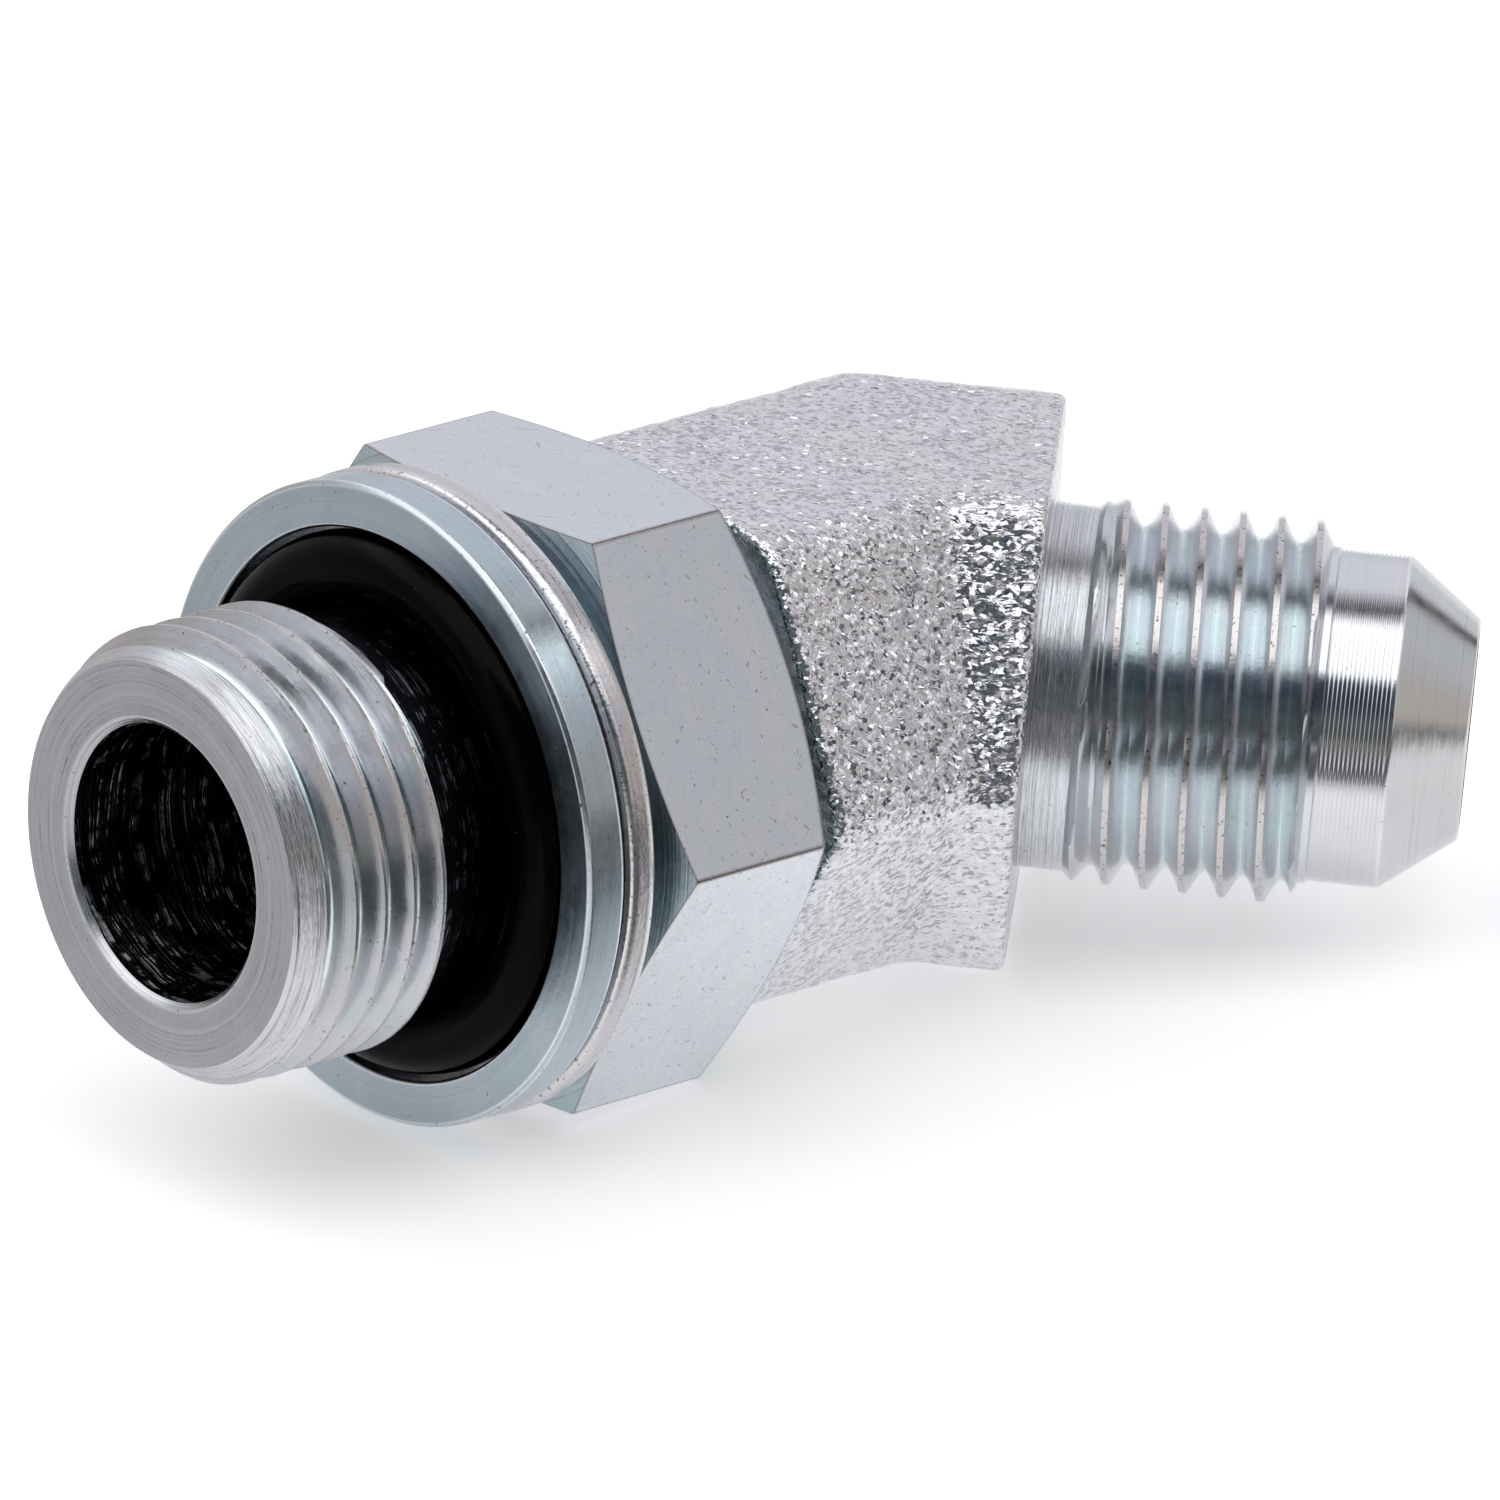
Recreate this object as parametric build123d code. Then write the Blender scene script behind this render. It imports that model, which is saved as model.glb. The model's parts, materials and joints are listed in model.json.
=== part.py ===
from build123d import *
import math
import os

# Hydraulic elbow adapter, 45 degrees.
# One forged and turned body has a 37 degree flare thread on one arm and an adjustable
# parallel-thread stud on the other. The stud carries a lock nut, a back-up washer,
# a retaining ring and an O-ring.
# Units are millimetres and degrees. A station is a distance along an arm's axis, outwards
# from the point where the two axes cross. The bend frame has the flare axis along +X, the
# stud axis in the XY plane towards -X and -Y, and Z square to the bend plane.

BEND_ANGLE = 45.0

# Forged block: two hexagonal arms that meet in the bend, faced off square at both ends
BLOCK_FLATS = 19.0
BLOCK_EDGE_ROUND = 2.2
BEND_INNER_ROUND = 1.5
BEND_OUTER_ROUND = 8.0
BLOCK_STUD_FACE = 11.0
BLOCK_FLARE_FACE = 5.8

# Flare arm, outwards from the block: neck, 9/16-18 thread, relief, nose and cone
FLARE_THREAD_D = 14.1
FLARE_NECK_LENGTH = 1.7
FLARE_NECK_DEPTH = 0.35
FLARE_THREAD_LENGTH = 8.3
FLARE_RELIEF_LENGTH = 0.5
FLARE_RELIEF_DEPTH = 0.85
FLARE_NOSE_LENGTH = 2.6
FLARE_NOSE_DEPTH = 0.95
FLARE_CONE_ANGLE = 37.0
FLARE_BORE_D = 7.54
FLARE_TIP_LAND = 0.25

# Stud arm, outwards from the block: neck, G 3/8 thread, undercut, G 3/8 thread and lead
STUD_THREAD_D = 16.66
STUD_NECK_LENGTH = 1.4
STUD_NECK_DEPTH = 1.03
REAR_THREAD_LENGTH = 7.1
UNDERCUT_LENGTH = 7.35
UNDERCUT_DEPTH = 1.03
FRONT_THREAD_LENGTH = 6.95
STUD_LEAD_LENGTH = 1.3
STUD_LEAD_DEPTH = 0.93
THREAD_END_CHAMFER = 0.1
STUD_BORE_D = 10.2
STUD_BORE_EDGE = 0.25
DRILL_POINT_ANGLE = 118.0

# Lock nut, run back until it almost meets the block
NUT_WALL = 2.595
NUT_LENGTH = 8.4
NUT_BLOCK_GAP = 1.3
NUT_TURN = 4.4
NUT_BOSS_LENGTH = 0.6
NUT_BOSS_INSET = 0.625
NUT_FRONT_CHAMFER_ANGLE = 16.0
NUT_REAR_INSET = 0.725
NUT_REAR_CHAMFER_ANGLE = 26.0
NUT_BORE_CHAMFER = 0.6
THREAD_CLEARANCE = 0.06

# Back-up washer, retaining ring and O-ring, stacked on the nut's front face
SEAT_GAP = 0.02
SLIDE_CLEARANCE = 0.06
WASHER_OVERHANG = 0.05
WASHER_THICKNESS = 1.2
WASHER_EDGE_BEVEL = 0.35
O_RING_SECTION_D = 2.62
O_RING_SIDES = 20
O_RING_GAP = 0.17
RING_WALL = 1.7
RING_THICKNESS = 1.9
RING_FRONT_BEVEL = 0.15
RING_REAR_BEVEL = 0.35
RING_BORE_BEVEL = 0.1

# Stations and radii that follow from the sizes above
FLARE_THREAD_START = BLOCK_FLARE_FACE + FLARE_NECK_LENGTH
FLARE_THREAD_END = FLARE_THREAD_START + FLARE_THREAD_LENGTH
FLARE_NOSE_START = FLARE_THREAD_END + FLARE_RELIEF_LENGTH
FLARE_CONE_START = FLARE_NOSE_START + FLARE_NOSE_LENGTH
REAR_THREAD_START = BLOCK_STUD_FACE + STUD_NECK_LENGTH
UNDERCUT_START = REAR_THREAD_START + REAR_THREAD_LENGTH
UNDERCUT_END = UNDERCUT_START + UNDERCUT_LENGTH
STUD_TIP = UNDERCUT_END + FRONT_THREAD_LENGTH
NUT_FLATS = STUD_THREAD_D + 2 * NUT_WALL
NUT_REAR = BLOCK_STUD_FACE + NUT_BLOCK_GAP
NUT_FRONT = NUT_REAR + NUT_LENGTH
WASHER_REAR = NUT_FRONT + SEAT_GAP
RING_REAR = WASHER_REAR + WASHER_THICKNESS + SEAT_GAP
UNDERCUT_RADIUS = STUD_THREAD_D / 2 - UNDERCUT_DEPTH
SLIDING_RADIUS = UNDERCUT_RADIUS + SLIDE_CLEARANCE
RING_BORE_RADIUS = SLIDING_RADIUS + O_RING_SECTION_D + O_RING_GAP
RING_RADIUS = RING_BORE_RADIUS + RING_WALL
WASHER_RADIUS = RING_RADIUS + WASHER_OVERHANG

# Hexagons: angle between neighbouring corners
HEXAGON_STEP = 60.0

# Search for the angle that the part lies at
STEEPEST_REST = 20.0
REST_ANGLE_STEP = 0.001
REST_HEIGHT_STEP = 0.0005

# Smallest difference that counts when edges are picked
LEVEL_TOLERANCE = 0.001
SQUARE_TOLERANCE = 0.1


def arm_plane(angle):
    """Plane at the crossing point: Z along an arm's axis, X square to the bend plane."""
    turn = math.radians(angle)
    return Plane(origin=(0, 0, 0), x_dir=(0, 0, 1), z_dir=(math.cos(turn), math.sin(turn), 0))


FLARE_PLANE = arm_plane(0)
STUD_PLANE = arm_plane(180 + BEND_ANGLE)


def turned(plane, profile):
    """Solid turned about an arm's axis from (radius, station) points."""
    points = [(radius, 0, station) for radius, station in profile]
    return plane.location * revolve(make_face(Polyline(*points, close=True)), axis=Axis.Z)


def tangent(angle):
    return math.tan(math.radians(angle))


def corner_radius(flats):
    """Radius to the corners of a hexagon of this size across its flats."""
    return flats / 2 / math.cos(math.radians(HEXAGON_STEP / 2))


def drilled(plane, diameter, mouth):
    """Drill hole from a mouth station down to the crossing point, with the drill's point."""
    radius = diameter / 2
    point = radius / tangent(DRILL_POINT_ANGLE / 2)
    return turned(plane, [(0, mouth), (radius, mouth), (radius, 0), (0, -point)])


def hexagon_bar(plane, flats, start, end, turn=0.0):
    """Bar along an arm's axis. Without a turn, two of its flats lie along the bend plane."""
    section = RegularPolygon(flats / 2, 6, major_radius=False)
    bar = extrude(Rot(0, 0, HEXAGON_STEP / 2 + turn) * section, amount=end - start)
    return plane.location * Pos(0, 0, start) * bar


def bend_envelope():
    """Room for the block: rounded on the outer side of the bend, open on the inner side."""
    half_width = corner_radius(BLOCK_FLATS)
    stud_axis, flare_axis = STUD_PLANE.z_dir, FLARE_PLANE.z_dir
    stud_side = stud_axis.rotate(Axis.Z, -90) * half_width
    flare_side = flare_axis.rotate(Axis.Z, 90) * half_width
    stud_end = stud_axis * (BLOCK_STUD_FACE + 2 * BLOCK_FLATS)
    flare_end = flare_axis * (BLOCK_FLARE_FACE + 2 * BLOCK_FLATS)
    bend = (stud_side + flare_side).normalized()
    corner = bend * (half_width / math.cos(math.radians(BEND_ANGLE / 2)))
    open_side = bend * (-3 * BLOCK_FLATS)
    points = [
        stud_end + open_side,
        flare_end + open_side,
        flare_end + flare_side,
        corner,
        stud_end + stud_side,
    ]
    outline = make_face(Polyline(*points, close=True))
    outline = fillet(outline.vertices().sort_by_distance(corner)[0], BEND_OUTER_ROUND)
    upper = extrude(outline, amount=BLOCK_FLATS / 2, taper=HEXAGON_STEP / 2)
    lower = extrude(outline, amount=-BLOCK_FLATS / 2, taper=HEXAGON_STEP / 2)
    return upper + lower


def is_level(edge):
    return abs((edge @ 0).Z - (edge @ 1).Z) < LEVEL_TOLERANCE


def crosses_an_end(edge):
    """True where an edge of the block's bar runs across one of its two ends."""
    for plane, face in ((STUD_PLANE, BLOCK_STUD_FACE), (FLARE_PLANE, BLOCK_FLARE_FACE)):
        beyond = (edge @ 0.5).dot(plane.z_dir) > face
        square = abs((edge % 0.5).dot(plane.z_dir)) < SQUARE_TOLERANCE
        if beyond and square:
            return True
    return False


def is_in_crease(edge):
    """True where an edge lies in the mitre plane, on the inner side of the bend."""
    across = STUD_PLANE.z_dir - FLARE_PLANE.z_dir
    inwards = STUD_PLANE.z_dir + FLARE_PLANE.z_dir
    on_mitre = all(abs((edge @ share).dot(across)) < LEVEL_TOLERANCE for share in (0, 0.5, 1))
    return on_mitre and (edge @ 0.5).dot(inwards) > 0


def forged_block():
    """Two mitred hexagonal arms with rounded edges, a rounded bend and a tight crease."""
    stud_bar = hexagon_bar(STUD_PLANE, BLOCK_FLATS, -BLOCK_FLATS, BLOCK_STUD_FACE + BLOCK_FLATS)
    flare_bar = hexagon_bar(FLARE_PLANE, BLOCK_FLATS, -BLOCK_FLATS, BLOCK_FLARE_FACE + BLOCK_FLATS)
    block = (stud_bar + flare_bar) & bend_envelope()
    lengthwise = [e for e in block.edges() if is_level(e) and not crosses_an_end(e)]
    block = fillet(lengthwise, BLOCK_EDGE_ROUND)
    block = fillet([e for e in block.edges() if is_in_crease(e)], BEND_INNER_ROUND)
    reach = 2 * (BLOCK_STUD_FACE + BLOCK_FLARE_FACE + BLOCK_FLATS)
    waste = Box(reach, reach, reach, align=(Align.CENTER, Align.CENTER, Align.MIN))
    block -= STUD_PLANE.location * Pos(0, 0, BLOCK_STUD_FACE) * waste
    block -= FLARE_PLANE.location * Pos(0, 0, BLOCK_FLARE_FACE) * waste
    return block


def stud_end():
    """Outside of the stud arm. The thread stands at its full diameter."""
    thread = STUD_THREAD_D / 2
    neck = thread - STUD_NECK_DEPTH
    lead = thread - STUD_LEAD_DEPTH
    edge = THREAD_END_CHAMFER
    return turned(STUD_PLANE, [
        (0, 0),
        (neck, 0),
        (neck, REAR_THREAD_START),
        (thread, REAR_THREAD_START + STUD_NECK_DEPTH),
        (thread, UNDERCUT_START - edge),
        (thread - edge, UNDERCUT_START),
        (UNDERCUT_RADIUS, UNDERCUT_START),
        (UNDERCUT_RADIUS, UNDERCUT_END),
        (thread - edge, UNDERCUT_END),
        (thread, UNDERCUT_END + edge),
        (thread, STUD_TIP - STUD_LEAD_LENGTH),
        (lead, STUD_TIP),
        (0, STUD_TIP),
    ])


def flare_tip():
    """Radius and station of the flare cone's small end."""
    radius = FLARE_BORE_D / 2 + FLARE_TIP_LAND
    nose = FLARE_THREAD_D / 2 - FLARE_NOSE_DEPTH
    return radius, FLARE_CONE_START + (nose - radius) / tangent(FLARE_CONE_ANGLE)


def flare_end():
    """Outside of the flare arm. The thread stands at its full diameter."""
    thread = FLARE_THREAD_D / 2
    neck = thread - FLARE_NECK_DEPTH
    relief = thread - FLARE_RELIEF_DEPTH
    nose = thread - FLARE_NOSE_DEPTH
    tip_radius, tip = flare_tip()
    return turned(FLARE_PLANE, [
        (0, 0),
        (neck, 0),
        (neck, FLARE_THREAD_START),
        (thread, FLARE_THREAD_START + FLARE_NECK_DEPTH),
        (thread, FLARE_THREAD_END),
        (relief, FLARE_THREAD_END + FLARE_RELIEF_LENGTH / 2),
        (relief, FLARE_NOSE_START),
        (nose, FLARE_NOSE_START),
        (nose, FLARE_CONE_START),
        (tip_radius, tip),
        (0, tip),
    ])


def elbow_body():
    """The block with its turned stud and flare ends, drilled through both arms."""
    tip_radius, tip = flare_tip()
    mouth_radius = STUD_BORE_D / 2 + STUD_BORE_EDGE
    mouth = turned(STUD_PLANE, [
        (0, STUD_TIP - mouth_radius),
        (mouth_radius, STUD_TIP),
        (0, STUD_TIP),
    ])
    body = forged_block() + stud_end() + flare_end()
    body -= drilled(STUD_PLANE, STUD_BORE_D, STUD_TIP)
    body -= drilled(FLARE_PLANE, FLARE_BORE_D, tip)
    return body - mouth


def lock_nut():
    """Hexagon nut with a low round boss in front and turned chamfers at both ends."""
    corner = corner_radius(NUT_FLATS)
    boss = NUT_FLATS / 2 - NUT_BOSS_INSET
    rear = NUT_FLATS / 2 - NUT_REAR_INSET
    bore = STUD_THREAD_D / 2 + THREAD_CLEARANCE
    wide = bore + NUT_BORE_CHAMFER
    shoulder = NUT_FRONT - NUT_BOSS_LENGTH
    hexagon = hexagon_bar(STUD_PLANE, NUT_FLATS, NUT_REAR, NUT_FRONT, NUT_TURN)
    blank = turned(STUD_PLANE, [
        (0, NUT_REAR),
        (rear, NUT_REAR),
        (corner, NUT_REAR + (corner - rear) * tangent(NUT_REAR_CHAMFER_ANGLE)),
        (corner, shoulder - (corner - boss) * tangent(NUT_FRONT_CHAMFER_ANGLE)),
        (boss, shoulder),
        (boss, NUT_FRONT),
        (0, NUT_FRONT),
    ])
    hole = turned(STUD_PLANE, [
        (0, NUT_REAR),
        (wide, NUT_REAR),
        (bore, NUT_REAR + NUT_BORE_CHAMFER),
        (bore, NUT_FRONT - NUT_BORE_CHAMFER),
        (wide, NUT_FRONT),
        (0, NUT_FRONT),
    ])
    return (hexagon & blank) - hole


def backup_washer():
    """Stamped washer with broken edges, closed in over the undercut so that it stays on."""
    front = WASHER_REAR + WASHER_THICKNESS
    return turned(STUD_PLANE, [
        (SLIDING_RADIUS, WASHER_REAR),
        (WASHER_RADIUS - WASHER_EDGE_BEVEL, WASHER_REAR),
        (WASHER_RADIUS, WASHER_REAR + WASHER_EDGE_BEVEL),
        (WASHER_RADIUS, front - WASHER_EDGE_BEVEL),
        (WASHER_RADIUS - WASHER_EDGE_BEVEL, front),
        (SLIDING_RADIUS, front),
    ])


def retaining_ring():
    """Turned ring that holds the O-ring round its outside, with bevelled edges."""
    front = RING_REAR + RING_THICKNESS
    return turned(STUD_PLANE, [
        (RING_BORE_RADIUS, RING_REAR),
        (RING_RADIUS - RING_REAR_BEVEL, RING_REAR),
        (RING_RADIUS, RING_REAR + RING_REAR_BEVEL),
        (RING_RADIUS, front - RING_FRONT_BEVEL),
        (RING_RADIUS - RING_FRONT_BEVEL, front),
        (RING_BORE_RADIUS + RING_BORE_BEVEL, front),
        (RING_BORE_RADIUS, front - RING_BORE_BEVEL),
    ])


def o_ring():
    """Rubber ring round the undercut, lying on the back-up washer inside the retaining ring.
    Its round section is drawn with many short sides."""
    section = O_RING_SECTION_D / 2
    sides = [2 * math.pi * side / O_RING_SIDES for side in range(O_RING_SIDES)]
    return turned(STUD_PLANE, [
        (SLIDING_RADIUS + section * (1 + math.cos(a)), RING_REAR + section * (1 + math.sin(a)))
        for a in sides
    ])


def resting_place(pieces):
    """Placement at which the part lies still on the XY plane: on the lower flat of the
    block, where it meets the flare face, and on whichever stud piece reaches lowest.
    The origin is under the middle of the overall box."""
    whole = Compound(pieces)
    block_edge = Vector(BLOCK_FLARE_FACE, 0, -BLOCK_FLATS / 2)
    low, high = 0.0, STEEPEST_REST
    while high - low > REST_ANGLE_STEP:
        tilt = (low + high) / 2
        lowest = (Rot(0, tilt, 0) * whole).bounding_box().min.Z
        if block_edge.rotate(Axis.Y, tilt).Z - lowest > REST_HEIGHT_STEP:
            low = tilt
        else:
            high = tilt
    box = (Rot(0, high, 0) * whole).bounding_box()
    return Pos(-box.center().X, -box.center().Y, -box.min.Z) * Rot(0, high, 0)


SUB_PARTS = {
    "elbow_body": elbow_body(),
    "lock_nut": lock_nut(),
    "backup_washer": backup_washer(),
    "retaining_ring": retaining_ring(),
    "o_ring": o_ring(),
}
PLACE = resting_place(list(SUB_PARTS.values()))

os.makedirs("parts", exist_ok=True)
for name, solid in SUB_PARTS.items():
    export_step(PLACE * solid, f"parts/{name}.step")
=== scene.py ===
import math

import bmesh
import bpy
import numpy as np
from mathutils import Matrix, Vector
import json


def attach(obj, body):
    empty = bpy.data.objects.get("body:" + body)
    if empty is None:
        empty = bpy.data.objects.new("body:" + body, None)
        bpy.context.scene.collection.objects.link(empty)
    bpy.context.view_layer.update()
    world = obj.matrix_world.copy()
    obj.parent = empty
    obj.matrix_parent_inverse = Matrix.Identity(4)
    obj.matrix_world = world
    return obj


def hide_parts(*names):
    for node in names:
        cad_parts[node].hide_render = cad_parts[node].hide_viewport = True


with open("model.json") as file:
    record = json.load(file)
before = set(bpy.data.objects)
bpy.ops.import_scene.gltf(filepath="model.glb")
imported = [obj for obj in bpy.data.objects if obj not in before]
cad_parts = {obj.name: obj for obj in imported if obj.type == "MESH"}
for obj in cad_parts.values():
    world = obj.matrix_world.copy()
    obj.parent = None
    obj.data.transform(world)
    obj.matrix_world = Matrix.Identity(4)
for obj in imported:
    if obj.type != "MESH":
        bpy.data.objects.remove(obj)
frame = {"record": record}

# Everything below is worked out in millimetres along the two arms and turned to metres at the end.
MM = 0.001
BEND = math.radians(45)
HALF_BEND = BEND / 2
HEX_HALF = math.radians(30)
# points round a turned surface, and round the forged one
ROWS = 160
SKIN_ROWS = 240

# Sizes of the real piece, as in the solids. A station is a distance along an arm from the point
# where the arms cross. Block:
BLOCK_HALF = 9.5
BLOCK_CORNER = BLOCK_HALF / math.cos(HEX_HALF)
BLOCK_ROUND = 2.2
BLOCK_END_ROUND = 0.3
BLOCK_STUD_FACE = 11.0
BLOCK_FLARE_FACE = 5.8
BEND_OUTER_ROUND = 8.0
BEND_INNER_ROUND = 1.5

# Stud arm
STUD_CREST = 8.33
STUD_CUT = 7.3
STUD_PITCH = 1.337
STUD_BORE = 5.1
STUD_NECK_END = 12.4
REAR_THREAD_END = 19.5
FRONT_THREAD = 26.85
STUD_LEAD = 32.5
STUD_TIP = 33.8
STUD_TIP_R = 7.4
BORE_EDGE = 0.25

# Flare arm
FLARE_CREST = 7.05
FLARE_NECK = 6.7
FLARE_PITCH = 1.411
FLARE_BORE = 3.77
FLARE_THREAD = 7.5
FLARE_THREAD_END = 16.05
FLARE_CUT = 6.2
NOSE_START = 16.36
NOSE_END = 18.9
NOSE_R = 6.1
CONE_ANGLE = math.radians(37)
TIP_R = FLARE_BORE + 0.25
FLARE_TIP = NOSE_END + (NOSE_R - TIP_R) / math.tan(CONE_ANGLE)

# Thread forms: depth, crest and root as shares of the pitch, drop across the crest and the root
STUD_FORM = (0.856, 0.06, 0.20, 0.01, 0.28)
FLARE_FORM = (0.87, 0.08, 0.26, 0.01, 0.42)

# Lock nut
NUT_REAR = 12.3
NUT_FRONT = 20.7
NUT_HALF = 10.925
NUT_EDGE_ROUND = 0.16
NUT_TURN = math.radians(4.4)
NUT_REAR_R = NUT_HALF - 0.725
NUT_REAR_ANGLE = math.radians(26)
NUT_BOSS_R = NUT_HALF - 0.625
NUT_BOSS = 0.6
NUT_FRONT_ANGLE = math.radians(16)
NUT_BORE = 8.39
NUT_MOUTH = 8.99

# Washer, ring and O-ring, which stack up in front of the nut
WASHER_REAR = 20.72
WASHER_FRONT = WASHER_REAR + 1.2
WASHER_BORE = 7.36
WASHER_R = 11.9
WASHER_BEVEL = 0.35
RING_REAR = 21.94
RING_FRONT = RING_REAR + 1.9
RING_BORE = 10.15
RING_R = 11.85
O_RING_HALF = 1.31

# Materials of the elbow, in the order of its slots
FORGED, FACE, BORED, SHADED_UNDERCUT, THREADED, NECK, NOSE, CONE = range(8)
# and of the nut
FLAT, TURNED, SHADED_REAR = range(3)

mounts = {m["name"]: m for m in frame["record"]["mounts"]}


def arm(name):
    """Crossing point and outward direction of an arm, from the bore that runs along it."""
    m = mounts[name]
    axis = np.array(m["axis"])
    axis /= np.linalg.norm(axis)
    return np.array(m["pos_m"]) / MM - axis * m["dims"]["length_mm"] / 2, axis


P0, STUD = arm("stud_passage")
_, FLARE = arm("flare_passage")
UP = np.cross(STUD, FLARE)
UP /= np.linalg.norm(UP)
INNER = (STUD + FLARE) / np.linalg.norm(STUD + FLARE)
STUD_IN = np.cross(UP, STUD)
STUD_IN *= np.sign(STUD_IN @ INNER)
FLARE_IN = np.cross(UP, FLARE)
FLARE_IN *= np.sign(FLARE_IN @ INNER)


# ---- mesh building ----


def smooth(x, a, b):
    t = np.clip((np.asarray(x, float) - a) / (b - a), 0, 1)
    return t * t * (3 - 2 * t)


class Mesh:
    """Collects grids of points with their attributes into one mesh.

    The attribute turn holds a point's station, radius and depth in a thread, and the edge attribute is
    1 on an edge whose colour is painted light: a highlight on most parts, a dark line on the nut."""

    def __init__(self):
        self.co, self.turn, self.wear, self.faces, self.mats = [], [], [], [], []
        self.count = 0

    def grid(self, co, turn=None, wear=None, mat=0, wrap=True, flip=False):
        """co is rows x columns x 3. Rows close up on themselves when wrap is true."""
        r, c = co.shape[:2]
        turn = np.zeros((r, c, 3)) if turn is None else turn
        wear = np.zeros((r, c)) if wear is None else wear
        base = self.count
        self.co.append(co.reshape(-1, 3))
        self.turn.append(np.asarray(turn, float).reshape(-1, 3))
        self.wear.append(np.broadcast_to(wear, (r, c)).reshape(-1))
        index = base + np.arange(r * c).reshape(r, c)
        nxt = np.roll(index, -1, axis=0) if wrap else index[1:]
        cur = index if wrap else index[:-1]
        quads = np.stack([cur[:, :-1], nxt[:, :-1], nxt[:, 1:], cur[:, 1:]], axis=-1).reshape(-1, 4)
        if flip:
            quads = quads[:, ::-1]
        self.faces.append(quads)
        self.mats.append(np.broadcast_to(mat, cur[:, :-1].shape).reshape(-1))
        self.count += r * c

    def build(self, name, materials, body, node, slot, sharp=40.0):
        mesh = bpy.data.meshes.new(name)
        co = np.concatenate(self.co) * MM
        faces = np.concatenate(self.faces)
        mats = np.concatenate(self.mats)
        mesh.from_pydata(co.tolist(), [], faces.tolist())
        mesh.polygons.foreach_set("material_index", mats.astype(np.int32))
        turn = mesh.attributes.new("turn", "FLOAT_VECTOR", "POINT")
        turn.data.foreach_set("vector", np.concatenate(self.turn).astype(np.float32).ravel())
        wear = mesh.attributes.new("wear", "FLOAT", "POINT")
        wear.data.foreach_set("value", np.concatenate(self.wear).astype(np.float32))
        obj = bpy.data.objects.new(name, mesh)
        bpy.context.scene.collection.objects.link(obj)
        for m in materials:
            mesh.materials.append(m)
        merge(mesh)
        mesh.shade_smooth()
        mesh.set_sharp_from_angle(angle=math.radians(sharp))
        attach(obj, body)
        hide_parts(node)
        return obj


def merge(mesh):
    """Joins the grids where their points meet, and drops faces left without area."""
    bm = bmesh.new()
    bm.from_mesh(mesh)
    bmesh.ops.remove_doubles(bm, verts=bm.verts, dist=0.0015 * MM)
    bmesh.ops.dissolve_degenerate(bm, edges=bm.edges, dist=0.001 * MM)
    bmesh.ops.recalc_face_normals(bm, faces=bm.faces)
    bm.to_mesh(mesh)
    bm.free()


def angles(rows=ROWS):
    return 2 * math.pi * np.arange(rows) / rows


def around(axis, side, station, radius, theta):
    """Points round an arm. Angle 0 points to the inner side of the bend."""
    station, radius, theta = np.broadcast_arrays(station, radius, theta)
    across = side[None, None] * np.cos(theta)[..., None] + UP[None, None] * np.sin(theta)[..., None]
    return P0 + axis * station[..., None] + across * radius[..., None]


def placed(co, station, radius, depth=0.0):
    """The turn attribute of a grid of points."""
    turn = np.zeros(co.shape)
    turn[..., 0] = station
    turn[..., 1] = radius
    turn[..., 2] = depth
    return turn


def band(mesh, axis, side, station, radius, theta, mat, wear=None):
    """Turned band round an arm, with rows along theta and columns along the arm."""
    co = around(axis, side, station, radius, theta)
    mesh.grid(co, placed(co, station, radius), wear, mat)


def rounded(profile, rounds, steps=4):
    """(radius, station) points with corners rounded off by the given sizes."""
    pts = [np.array(p, float) for p in profile]
    out, wear = [], []
    for i, p in enumerate(pts):
        size = rounds[i] if i < len(rounds) else 0
        if size <= 0 or i in (0, len(pts) - 1):
            out.append(p)
            wear.append(0.0)
            continue
        a = p + (pts[i - 1] - p) / np.linalg.norm(pts[i - 1] - p) * size
        b = p + (pts[i + 1] - p) / np.linalg.norm(pts[i + 1] - p) * size
        for k in range(steps + 1):
            t = k / steps
            out.append((1 - t) ** 2 * a + 2 * t * (1 - t) * p + t * t * b)
            # mark the round for the edge colour, painted as the light a bevel shows
            wear.append(1 - abs(2 * t - 1) * 0.6)
    return np.array(out), np.array(wear)


def refined(profile, wear, step, guard=0.06):
    """Adds points so that no segment is longer than step, and the mark for painted edge light ends close to
    its corner.
    """
    out, w = [profile[0]], [wear[0]]
    for a, b, wear_b in zip(profile[:-1], profile[1:], wear[1:]):
        length = np.linalg.norm(b - a)
        parts = math.ceil(length / step)
        stops = [k / parts for k in range(1, parts)]
        if length > 3 * guard:
            stops = [guard / length] + [t for t in stops if 2 * guard < t * length < length - 2 * guard]
            stops.append(1 - guard / length)
        for t in stops:
            out.append(a + (b - a) * t)
            w.append(0.0)
        out.append(b)
        w.append(wear_b)
    return np.array(out), np.array(w)


def lathe(mesh, axis, side, profile, rounds=(), step=1.2, mat=0, rows=ROWS):
    """Turns a profile of (radius, station) points round an arm."""
    pts, wear = refined(*rounded(profile, rounds), step)
    band(mesh, axis, side, pts[None, :, 1], pts[None, :, 0], angles(rows)[:, None], mat, wear[None])


def thread_points(form):
    """Phases from the crest at 0 to the root at a half."""
    _, crest, root, _, _ = form
    return np.array([0, crest, crest + 0.02] + [0.5 - root + root * k / 3 for k in range(4)])


def groove(phase, form):
    """Depth below the crest at a phase from 0 to 1."""
    depth, crest, root, crest_drop, root_drop = form
    x = np.abs((phase + 0.5) % 1.0 - 0.5)
    slope = (depth - crest_drop - root_drop) / (0.5 - crest - root)
    top = crest_drop * (x / crest) ** 2
    bottom = depth - root_drop * ((0.5 - x) / root) ** 2
    flank = crest_drop + slope * (x - crest)
    return np.where(x < crest, top, np.where(x > 0.5 - root, bottom, flank))


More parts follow.
